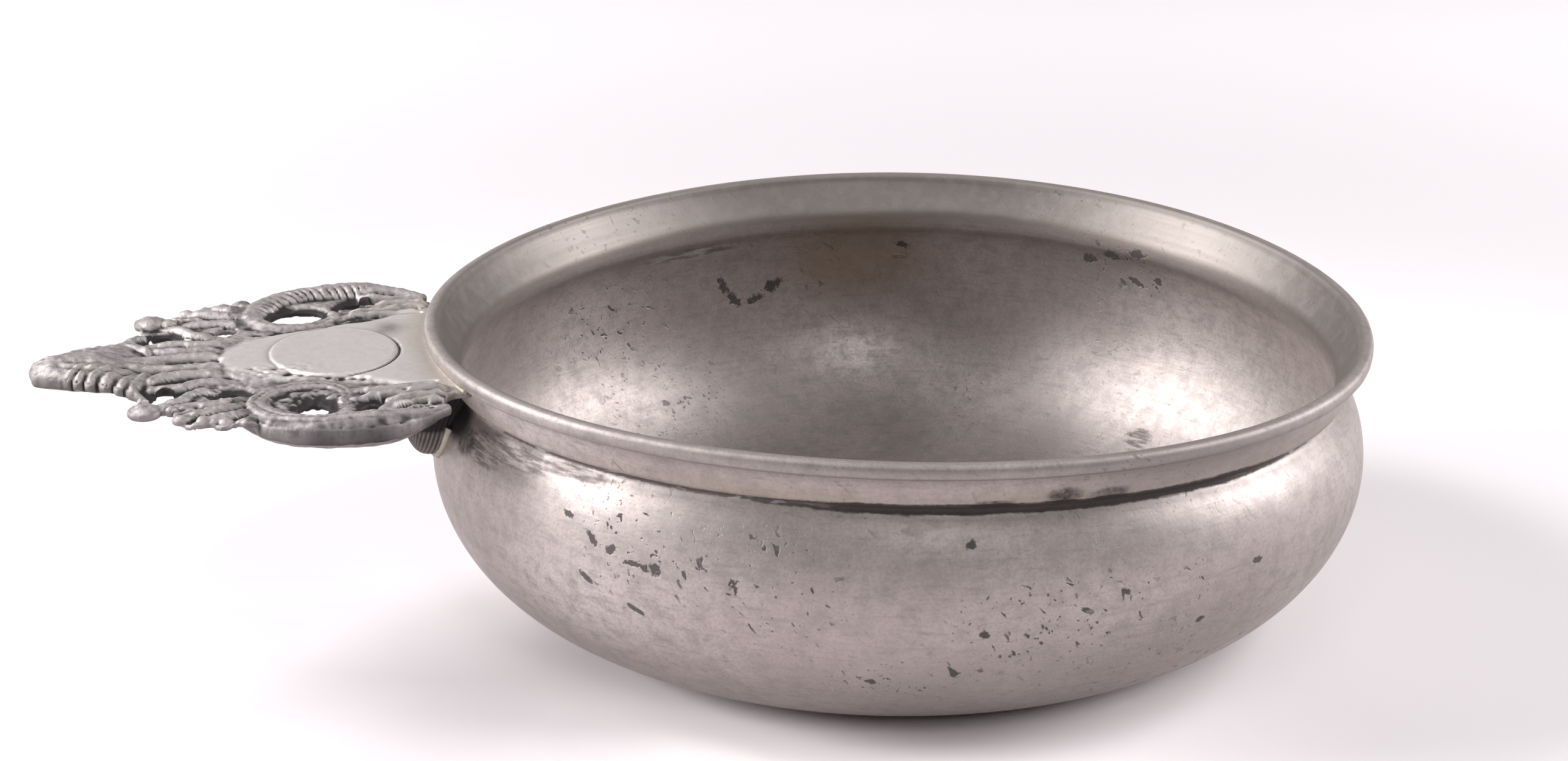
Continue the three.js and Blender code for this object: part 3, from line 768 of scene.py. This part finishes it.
# Curled tip: a bulky domed leaf. Ribs sweep out from its crest and end in fingers at the edges
tip_beyond = [34, 38.7, 40.2, 42.2, 45.6, 48.4, 51, 53.4]
tip_half = np.interp(B, tip_beyond, [13, 12.6, 10.7, 8.9, 6.8, 5.4, 4.4, 3.4])
spread = np.clip(A / (tip_half - edge_round), 0, 1)
tip = ease(B, 37.0, 42.5)
rib_pitch = 2.0
phase = 2 * np.pi * (B - 8.0 * (1 - np.exp(-A / 4.0)) + 0.25 * lumps(3.0, 16)) / rib_pitch
ribbed = ease(B, 35.5, 38.5) * ease(B, 49.0, 46.0) * (0.3 + 0.7 * ease(spread, 0.4, 0.85))
ribbed = ribbed * np.where(far, 0.25, 1.0) * ease(A, 0.6, 2.0)
rounded_end = rounded(np.maximum(B - 49.4, 0) / 3.5)
dome = rounded(spread) * (0.55 + 0.45 * ease(B, 40, 45)) * rounded_end
long_groove = np.exp(-((A - 1.7 - 0.12 * (47 - B)) / 0.4) ** 2)
long_groove = long_groove + 0.7 * np.exp(-((A - 3.6 - 0.3 * (46 - B)) / 0.4) ** 2)
tip_top = 0.1 + 1.8 * dome - 0.3 * long_groove * ease(B, 50.5, 47) + 0.1 * lumps(1.6, 21)
ribs_reach = tip + (1 - tip) * ease(A, 3.0, 5.0) * ease(A, 12.0, 9.0)
top = top * (1 - tip) + tip_top * tip + 0.3 * np.cos(phase) * ribbed * ribs_reach
under = under * (1 - tip) + (-0.65 - 1.3 * dome) * tip
region = region - 0.34 * np.cos(phase) * ease(spread, 0.6, 0.85) * ribbed * ease(B, 38.5, 40.5)

# Buds, and beads along the leaf's edge
knobs = [
    (37.6, 18.3, 2.3, 0.75), (35.2, 17.6, 1.3, 0.5), (34, 18.9, 0.9, 0.4), (32.6, 22, 1.1, 0.35),
    (30, 22.9, 1.1, 0.3), (27.3, 23.8, 1.1, 0.25), (24.4, 24.4, 1.1, 0.25), (7.2, 25.6, 0.8, 0.6),
]
for beyond, aside, size, rise in knobs:
    away = np.hypot(B - beyond, A - aside)
    body = -0.6 + (rise + 0.6) * rounded(away / size)
    top = np.where(away < size, merged(top, body, 0.3), top)
    region = merged(region * -1, size - away, 0.4) * -1

# Medallion: a plain oval, barely raised, in a line that is crisp only on its near side
oval = np.hypot((X - medallion_beyond) / medallion_half[0], V / medallion_half[1])
oval = (oval - 1) * sum(medallion_half) / 2
crisp = 0.3 + 0.7 * ease(-V / medallion_half[1] - (X - medallion_beyond) / 12.0, -0.1, 0.7)
top = top + 0.2 * ease(oval, 0.3, -0.2) * (1 - leafy) - 0.36 * crisp * np.exp(-(oval / 0.26) ** 2)

# Flaws of the casting: pits by the medallion, among the leaves and on the tip
flaws = [
    (9.5, -11.3, 0.5, 0.8), (10.8, -10.9, 0.5, 0.9), (12.3, -10.7, 0.55, 0.8), (14, -10.2, 0.4, 0.5),
    (17.5, -8.6, 0.4, 0.5), (19.3, -7.6, 0.55, 0.8), (21, -5.4, 0.4, 0.5), (22.6, -6.4, 0.4, 0.5),
    (24, -4.6, 0.4, 0.5), (20, 10.4, 0.8, 0.6), (22.6, 10.8, 0.6, 0.5), (29, 13.6, 0.6, 0.7),
    (28.2, 6, 0.7, 0.5), (28.6, 0.6, 0.6, 0.5), (27.4, -6.6, 0.6, 0.5), (31.6, -17.6, 0.5, 0.5),
    (50.6, 1.6, 0.5, 0.35), (49.4, 2.5, 0.5, 0.35), (48, 3, 0.45, 0.3), (51.6, 0.6, 0.4, 0.3),
]
for beyond, aside, size, depth in flaws:
    top = top - depth * np.exp(-(np.hypot((X - beyond) * 0.8, V - aside) / size) ** 2)
crumbled = spot(21.5, -6.6, 5.0, 2.2) + spot(17.0, -17.0, 5.0, 3.6) + 0.7 * spot(27.5, -10.5, 3.5, 3.0)
crumbled = np.clip(crumbled + 0.6 * spot(30.5, -20.0, 6.0, 4.0) + 0.6 * spot(36.0, -17.0, 3.0, 3.0), 0, 1)
rough = 0.07 * lumps(0.9, 3) + 0.07 * lumps(0.45, 4) + 0.06 * lumps(1.8, 17)
top = top + rough * (0.1 + 0.9 * leafy) + crumbled * 0.22 * lumps(0.75, 18) + 0.05 * lumps(5.0, 5)
region = region + 0.12 * lumps(1.3, 6) * leafy
under = under + 0.06 * lumps(1.1, 7)
region = np.maximum(region, collar_bite - np.hypot(X + rim_radius, V))
under = np.minimum(under, top - 0.75)

# How deep or how proud each place lies, which decides how dark it is, from -1 to 1: the recesses are painted
# dark as shade and dirt
lie = np.maximum(softened(top, 0.45) - top, 0.7 * (softened(top, 1.1) - top))
close_lie = (softened(top, 0.25) - top) * 1.8
lie = np.where(np.abs(lie) < np.abs(close_lie), close_lie, lie)
recess = np.clip(lie / 0.24, -1, 1) + 0.6 * np.clip((-0.4 - top) / 0.7, 0, 1) * leafy
# Three darker patches, two by the root on the far side and one on the near side
darkened_spots = 0.5 * spot(4.4, 8.6, 2.0, 2.4) + 0.7 * spot(8.0, 13.8, 2.4, 1.4) + 0.5 * spot(17.0, -16.6, 4.6, 3.2)
recess = np.clip(recess + darkened_spots, -1, 1) * ease(region, 0.1, -0.4)
notched = ease(-np.cos(phase), 0.1, 0.9) * ease(spread, 0.55, 0.85) * ribbed * ease(B, 38.5, 40.5)
recess = np.maximum(recess, notched * 0.8)
mottled_skirt = 0.36 + 0.3 * lumps(1.5, 23) + 0.25 * lumps(0.6, 24) + 0.25 * ease(B, 8, 0)
recess = np.clip(recess * (1 - skirt) + skirt * np.maximum(recess, mottled_skirt), -1, 1)

# How dark the walls of the edges and piercings are: painted shade, darkest in the piercings and the tip's
# notches, and mottled on the scroll's skirt
walled = np.maximum(ease(pierced, 1.5, 1.25), notched * 0.9 + 0.2 * tip)
walled = np.maximum(walled, skirt * (0.3 + 0.35 * lumps(2.4, 25)))


def cut_out(field, layers):
    """Faces, boundary edges and vertex values of the grid's part where field is below zero."""
    field = np.where(np.abs(field) < 0.1 * grid_pitch, -0.1 * grid_pitch, field)
    kept = field < 0
    number = -np.ones(field.shape, int)
    number[kept] = np.arange(kept.sum())
    values = [list(layer[kept]) for layer in layers]
    cuts = {}

    def crossing(a, b):
        key = (a, b) if a < b else (b, a)
        if key not in cuts:
            t = field[key[0]] / (field[key[0]] - field[key[1]])
            cuts[key] = len(values[0])
            for value, layer in zip(values, layers):
                value.append(layer[key[0]] * (1 - t) + layer[key[1]] * t)
        return cuts[key]

    whole = kept[:-1, :-1] & kept[1:, :-1] & kept[1:, 1:] & kept[:-1, 1:]
    some = (kept[:-1, :-1] | kept[1:, :-1] | kept[1:, 1:] | kept[:-1, 1:]) & ~whole
    i, j = np.nonzero(whole)
    faces = np.stack([number[i, j], number[i + 1, j], number[i + 1, j + 1], number[i, j + 1]], 1).tolist()
    rims = []
    for i, j in zip(*np.nonzero(some)):
        ring = [(i, j), (i + 1, j), (i + 1, j + 1), (i, j + 1)]
        states = [bool(kept[c]) for c in ring]
        saddle = states[0] == states[2] and states[1] == states[3]
        loops = [[]]
        for k in range(4):
            here, after = ring[k], ring[(k + 1) % 4]
            if states[k]:
                loops[-1].append(("in", int(number[here])))
            if states[k] != states[(k + 1) % 4]:
                loops[-1].append(("cut", crossing(here, after)))
                if saddle and states[k]:
                    loops.append([])
        if saddle:
            loops[-1] = loops[-1] + loops.pop(0)
        for loop in loops:
            if len(loop) < 3:
                continue
            faces.append([n for _, n in loop])
            for (kind_a, a), (kind_b, b) in zip(loop, loop[1:] + loop[:1]):
                if kind_a == "cut" and kind_b == "cut":
                    rims.append((a, b))
    return faces, rims, [np.array(value) for value in values]


# The top and underside are cut out of the grid, and a rounded wall of rings joins their edges
slope_x, slope_a = np.gradient(softened(region, 0.3), grid_pitch)
steep = np.maximum(np.hypot(slope_x, slope_a), 1e-6)
layers = [X, V, top, under, recess, leafy, walled, slope_x / steep, slope_a / steep]
faces, rims, (px, pv, high, low, deep, leaf, wall, out_x, out_v) = cut_out(region + edge_round, layers)
count = len(px)
wall_steps = 5
points = [np.stack([px, pv, high], 1), np.stack([px, pv, low], 1)]
# The top carries its recess shading, and the underside a flat painted shade
shades = [deep, np.full(count, 0.3)]
leafs = [leaf, np.ones(count)]
edge_numbers = sorted({n for rim in rims for n in rim})
place_of = {n: k for k, n in enumerate(edge_numbers)}
edge = np.array(edge_numbers)
for step in range(1, wall_steps + 1):
    turn = math.pi * step / (wall_steps + 1)
    reach = edge_round * math.sin(turn) ** 0.7
    level = math.copysign(abs(math.cos(turn)) ** 0.75, math.cos(turn))
    middle, half = (high[edge] + low[edge]) / 2, (high[edge] - low[edge]) / 2
    ring = [px[edge] + out_x[edge] * reach, pv[edge] + out_v[edge] * reach, middle + half * level]
    points.append(np.stack(ring, 1))
    # Painted shade: each wall ring is darker the lower it lies
    shades.append(0.1 + 0.35 * step / wall_steps + 0.7 * wall[edge])
    leafs.append(leaf[edge])
faces += [[n + count for n in face[::-1]] for face in faces]
for a, b in rims:
    first = [a] + [2 * count + s * len(edge) + place_of[a] for s in range(wall_steps)] + [a + count]
    second = [b] + [2 * count + s * len(edge) + place_of[b] for s in range(wall_steps)] + [b + count]
    for k in range(wall_steps + 1):
        faces.append([first[k], first[k + 1], second[k + 1], second[k]])
points = np.vstack(points)
placed = np.stack([
    bowl_x - (rim_radius + points[:, 0]) * mm,
    points[:, 1] * mm,
    (plate_top + points[:, 2] + twist * points[:, 1]) * mm,
], 1)


def cast_pewter():
    """Leaden and dull, with dirt and painted shade in the recesses, a lighter plain field and high places
    worn lighter.
    """
    finish = Finish("cast_pewter")
    point = finish.place()
    deep = finish.attribute("recess")
    leafy_here = finish.attribute("leafy")
    cloud = finish.noise(point, 90.0, 3.0, 0.55)
    tint = finish.noise(point, 150.0, 2.0, 0.5)
    mottle = finish.noise(point, 700.0, 4.0, 0.65)
    grain = finish.noise(point, 2600.0, 3.0, 0.7)
    x, y, _ = finish.parts(finish.place((bowl_x, 0.0, 0.0)))
    by_solder = ((x * x + y * y) ** 0.5 + (cloud - 0.5) * 4.0 * mm).between(71.0 * mm, 67.5 * mm)
    plain = finish.mix(leafy_here, (0.78, 0.72, 0.71), (0.49, 0.445, 0.452))
    colour = finish.layered(plain, [
        (cloud.between(0.38, 0.68) * 0.45 * leafy_here, (0.41, 0.395, 0.35)),
        (tint.between(0.5, 0.7) * 0.5 * leafy_here, (0.45, 0.39, 0.43)),
        (mottle.between(0.44, 0.68) * (0.16 + 0.5 * leafy_here), (0.24, 0.215, 0.205)),
        (by_solder * 0.4, (0.62, 0.53, 0.42)),
        ((-deep).limited() * 0.5, (0.74, 0.69, 0.67)),
        # painted shade in the recesses, partly dirt
        ((deep * 1.25).limited(), (0.045, 0.039, 0.041)),
    ])
    roughness = 0.48 + 0.12 * mottle + 0.06 * leafy_here + 0.15 * deep.limited()
    height = 0.5 * grain * (0.25 + 0.75 * leafy_here) + 0.6 * mottle * (0.15 + 0.85 * leafy_here)
    return finish.metal(colour, roughness, height, 0.12 * mm)


def cast_piece(name, points, faces, recess, leafy, metal):
    """A smooth piece from points in metres, with the two fields that its metal's colours follow."""
    mesh = bpy.data.meshes.new(name)
    mesh.from_pydata(points.tolist(), [], faces)
    store(mesh, "recess", recess)
    store(mesh, "leafy", leafy)
    mesh.polygons.foreach_set("use_smooth", [True] * len(faces))
    mesh.materials.append(metal)
    piece = link(name, mesh)
    outward(piece)
    return piece


pewter = cast_pewter()
handle = cast_piece("pierced_handle", placed, faces, np.concatenate(shades), np.concatenate(leafs), pewter)
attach(handle, "root")
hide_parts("handle")


# Bracket
# A fluted tongue of the same cast metal under the handle's root. It sweeps in to the belly, where
# its rounded tip is soldered on.

tongue_top = plate_top - plate_thickness + 0.2
tongue_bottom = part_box("bracket")[0][2] / mm
tongue_half_top = 7.5
tongue_half_tip = 7.2
tongue_reach_top = belly_radius + 11.4
tongue_reach_tip = belly_radius + 4.0
tongue_seat = 0.35
flute_pitch = 0.62
flute_depth = 0.08
painted_shadow_height = 30.6
ring_count = 44
front_count, back_count = 141, 39


def belly_face(height):
    """Radius of the bowl's outside at this height, from its widest place up."""
    radii, heights = zip(*[p for p in outer_line if p[1] > belly_height])
    return float(np.interp(height, heights, radii))


# Rings from the root down: a squarish front with flutes, and a back that follows the belly
half_turn = np.linspace(0.0, math.pi, 400)
square_side = np.copysign(np.abs(np.cos(half_turn)) ** 0.8, np.cos(half_turn))
square_depth = np.abs(np.sin(half_turn)) ** 0.45
bracket_points, bracket_shades = [], []
for t in np.linspace(0.0, 1.0, ring_count):
    height = tongue_top + (tongue_bottom - tongue_top) * t
    front = tongue_reach_tip + (tongue_reach_top - tongue_reach_tip) * (1 - t) ** 2.6
    tip_round = rounded(max(0.0, (t - 0.7) / 0.3))
    half = (tongue_half_tip + (tongue_half_top - tongue_half_tip) * (1 - t) ** 1.5) * max(tip_round, 0.05)
    back = belly_face(height) - tongue_seat
    thick = (front - back) * (0.35 + 0.65 * tip_round)
    bends = np.stack([square_side * half, square_depth * thick], 1)
    reached = passed(bends)
    even = np.linspace(0.0, reached[-1], front_count)
    bends = np.stack([np.interp(even, reached, bends[:, k]) for k in (0, 1)], 1)
    slope = np.gradient(bends, axis=0)
    slope = slope / np.maximum(np.hypot(*slope.T), 1e-9)[:, None]
    wave = np.cos(2 * math.pi * np.minimum(even, reached[-1] - even) / flute_pitch)
    bends = bends + flute_depth * tip_round * (wave - 1.0)[:, None] * np.stack([slope[:, 1], -slope[:, 0]], 1)
    behind = np.stack([np.linspace(-half, half, back_count + 2)[1:-1], np.zeros(back_count)], 1)
    ring = np.vstack([bends, behind])
    aside, depth = ring.T
    hollow = back - np.sqrt(np.maximum(back ** 2 - aside ** 2, 1.0))
    placed_ring = [bowl_x - (back - hollow + depth) * mm, aside * mm, np.full(len(ring), height * mm)]
    bracket_points.append(np.stack(placed_ring, 1))
    # Painted shadow: the tongue turns near black towards its top, under the handle's root
    painted_shadow_share = min(max((height - painted_shadow_height) / 1.6, 0.0), 1.0)
    # Painted shade: the flutes' grooves are darker than their crests, and the back is mid grey
    bracket_shades += np.maximum(0.6 - 0.2 * wave, painted_shadow_share).tolist() + [0.5] * back_count
sides = front_count + back_count
bracket_faces = []
for k in range(ring_count - 1):
    for n in range(sides):
        after = (n + 1) % sides
        bracket_faces.append([k * sides + n, k * sides + after, (k + 1) * sides + after, (k + 1) * sides + n])
bracket_faces.append(list(range(sides)))
bracket_faces.append([(ring_count - 1) * sides + n for n in range(sides)][::-1])
bracket_points = np.vstack(bracket_points)
leafy_all_over = np.ones(len(bracket_points))
bracket = cast_piece("fluted_bracket", bracket_points, bracket_faces, bracket_shades, leafy_all_over, pewter)
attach(bracket, "root")
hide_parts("bracket")


# Solder
# Fillets of soft solder run with an iron along both joints: under the lip where the handle's root
# meets the collar, and round the tongue on the belly. They are a little uneven and yellowish.

def solder_tree():
    """Sweeps a round bead of uneven thickness along a path."""
    inputs = {"Bead": "Float", "Uneven": "Float", "Scale": "Float", "Material": "Material"}
    graph, given = group("run_solder", inputs)
    path = graph.node("GeometryNodeMeshToCurve", {}, {0: given["Geometry"]})
    place = graph.node("GeometryNodeInputPosition")
    lump = graph.noise(place, given["Scale"], 3.0, 0.6) - 0.5
    size = given["Bead"] * (1.0 + lump * given["Uneven"])
    ring = graph.node("GeometryNodeCurvePrimitiveCircle", {}, {"Resolution": 14, "Radius": 1.0})
    values = {"Curve": path, "Profile Curve": ring, "Scale": size, "Fill Caps": True}
    return completed(graph, graph.node("GeometryNodeCurveToMesh", {}, values), given["Material"])


def soft_solder():
    """Dull and slightly yellow, with a grainy grey skin."""
    finish = Finish("soft_solder")
    point = finish.place()
    cloud = finish.noise(point, 260.0, 3.0, 0.6)
    grain = finish.noise(point, 1800.0, 3.0, 0.65)
    colour = finish.mix(cloud.between(0.35, 0.65), (0.46, 0.41, 0.32), (0.36, 0.335, 0.30))
    colour = finish.mix(grain.between(0.55, 0.8) * 0.5, colour, (0.2, 0.18, 0.16))
    return finish.metal(colour, 0.42 + 0.2 * grain, grain + cloud, 0.08 * mm)


def solder_bead(name, path, bead, node):
    """A bead of this radius in mm along a path. It stands in for one CAD node."""
    values = {"Bead": bead * mm, "Uneven": 0.9, "Scale": 700.0, "Material": solder_metal}
    piece = grown(thread(name + "_path", path), run_solder, values, name)
    outward(piece)
    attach(piece, "root")
    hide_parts(node)


solder_metal = soft_solder()
run_solder = solder_tree()
root_half = 19.8
joint_radius = 66.9
joint_height = plate_top - 0.25
joint_turn = math.asin(root_half / joint_radius)
joint = []
for turn in np.linspace(-joint_turn, joint_turn, 90):
    aside = joint_radius * math.sin(turn)
    level = joint_height + twist * aside
    joint.append((bowl_x - joint_radius * math.cos(turn) * mm, aside * mm, level * mm))
solder_bead("handle_solder", joint, 0.3, "handle_solder_seam")

foot_joint = []
for turn in np.linspace(0.0, math.pi, 60):
    aside = (tongue_half_tip + 0.2) * math.cos(turn)
    height = tongue_bottom + 5.5 - 5.6 * math.sin(turn)
    radius = belly_face(height) + 0.1
    foot_joint.append((bowl_x - math.sqrt(radius ** 2 - aside ** 2) * mm, aside * mm, height * mm))
solder_bead("bracket_solder", foot_joint, 0.65, "bracket_solder_seam")


# Studio
# A pale seamless sweep with two soft boxes at each side, a weak lamp above and one in front, and
# a grey room above. The camera stands where the photograph was taken from.

camera_turn = math.radians(15.0)
camera_height = math.radians(16.983)
camera_roll = math.radians(0.425)
camera_distance = 391.8 * mm
picture_width, picture_height = 2576, 1250
focal_pixels = 4500.0
rim_centre_pixel = (1471.2, 493.5)
sensor = 36.0
rim_centre = Vector((bowl_x, 0.0, rim_height * mm))

# The camera aims at the rim's centre, and then swings to put it off the picture's middle
facing = Matrix.Rotation(-camera_turn, 3, "Z")
aim = facing @ Matrix.Rotation(math.pi / 2 - camera_height, 3, "X")
yaw = math.atan((rim_centre_pixel[0] - picture_width / 2) / focal_pixels)
pitch = math.atan((rim_centre_pixel[1] - picture_height / 2) / focal_pixels * math.cos(yaw))
swing = Matrix.Rotation(yaw, 3, "Y") @ Matrix.Rotation(pitch, 3, "X") @ Matrix.Rotation(camera_roll, 3, "Z")
view = (aim @ swing).to_4x4()
view.translation = rim_centre + aim.col[2] * camera_distance
lens = bpy.data.cameras.new("camera")
lens.sensor_width = sensor
lens.lens = sensor * focal_pixels / picture_width
lens.clip_start = 0.01
camera = link("camera", lens)
camera.matrix_world = view
bpy.context.scene.camera = camera

# Soft boxes and lamps: azimuth (0 at the camera, 90 to its right), elevation, width, height and power
soft_boxes = {
    "left_low_box": (-83.0, 20.0, 0.36, 0.36, 9.0),
    "left_high_box": (-100.0, 42.0, 0.35, 0.35, 7.2),
    "right_low_box": (97.0, 20.0, 0.36, 0.36, 6.6),
    "right_high_box": (100.0, 42.0, 0.35, 0.35, 3.9),
    "top_lamp": (0.0, 60.0, 0.36, 0.36, 0.6),
    "front_lamp": (15.0, 32.0, 0.22, 0.26, 1.5),
}
box_distance = 1.0
lit_place = Vector((bowl_x, 0.0, 0.03))
for name, (azimuth, elevation, width, height, power) in soft_boxes.items():
    lamp = bpy.data.lights.new(name, "AREA")
    lamp.shape = "RECTANGLE"
    lamp.size = width
    lamp.size_y = height
    lamp.energy = power
    turn, lift = math.radians(azimuth), math.radians(elevation)
    seen = Vector((math.sin(turn) * math.cos(lift), -math.cos(turn) * math.cos(lift), math.sin(lift)))
    direction = facing @ seen
    light = link(name, lamp)
    light.location = lit_place + direction * box_distance
    light.rotation_euler = direction.to_track_quat("Z", "Y").to_euler()


shadow_middle = (bowl_x - 18.0 * mm, -68.0 * mm, 0.0)


def pale_sweep():
    """White paper. Only the camera sees the tones round the bowl that follow the photo's uneven light."""
    finish = Finish("pale_sweep")
    rays = finish.node("ShaderNodeLightPath").out.node
    seen = Socket(finish, rays.outputs["Is Camera Ray"])
    mirrored = Socket(finish, rays.outputs["Is Glossy Ray"])
    x, y, _ = finish.parts(finish.place(shadow_middle))
    away = (x * x + y * y) ** 0.5
    # Painted light and shade for the camera alone: brightest at the middle of the bowl's shadow, which lifts
    # it, dimmest about 300 mm out, and a little brighter again far off
    shown = finish.mix(away.between(0.30, 0.08), (0.66, 0.626, 0.645), (0.88, 0.834, 0.86))
    shown = finish.mix(away.between(0.07, 0.01), shown, (1.25, 1.185, 1.214))
    shown = finish.mix(away.between(0.30, 0.56), shown, (0.83, 0.787, 0.814))
    paper = finish.mix(mirrored, (0.85, 0.82, 0.84), (0.85, 0.80, 0.82))
    paper = finish.mix(seen, paper, shown)
    diffuse = finish.node("ShaderNodeBsdfDiffuse", {}, {"Color": paper})
    finish.node("ShaderNodeOutputMaterial", {}, {"Surface": diffuse})
    return finish.material


floor_mesh = bpy.data.meshes.new("floor")
floor_half = 4.0
floor_corners = [(x * floor_half, y * floor_half, 0) for x, y in ((-1, -1), (1, -1), (1, 1), (-1, 1))]
floor_mesh.from_pydata(floor_corners, [], [(0, 1, 2, 3)])
floor_mesh.materials.append(pale_sweep())
floor = link("floor", floor_mesh)

room = bpy.data.worlds.new("room")
room.use_nodes = True
sky = Graph(room.node_tree)
rays = sky.node("ShaderNodeLightPath").out.node
camera_ray = Socket(sky, rays.outputs["Is Camera Ray"])
outlook = sky.node("ShaderNodeTexCoord", {}, {}, out="Generated")
level = sky.parts(outlook)[2]
tone = sky.mix(level.between(0.5, 0.9), (0.02, 0.02, 0.02), (0.32, 0.31, 0.315))
tone = sky.mix(camera_ray, tone, (0.98, 0.95, 0.975))
ground = sky.node("ShaderNodeBackground", {}, {"Color": tone, "Strength": 1.0})
sky.node("ShaderNodeOutputWorld", {}, {"Surface": ground})
bpy.context.scene.world = room
bpy.context.scene.view_settings.view_transform = "Standard"
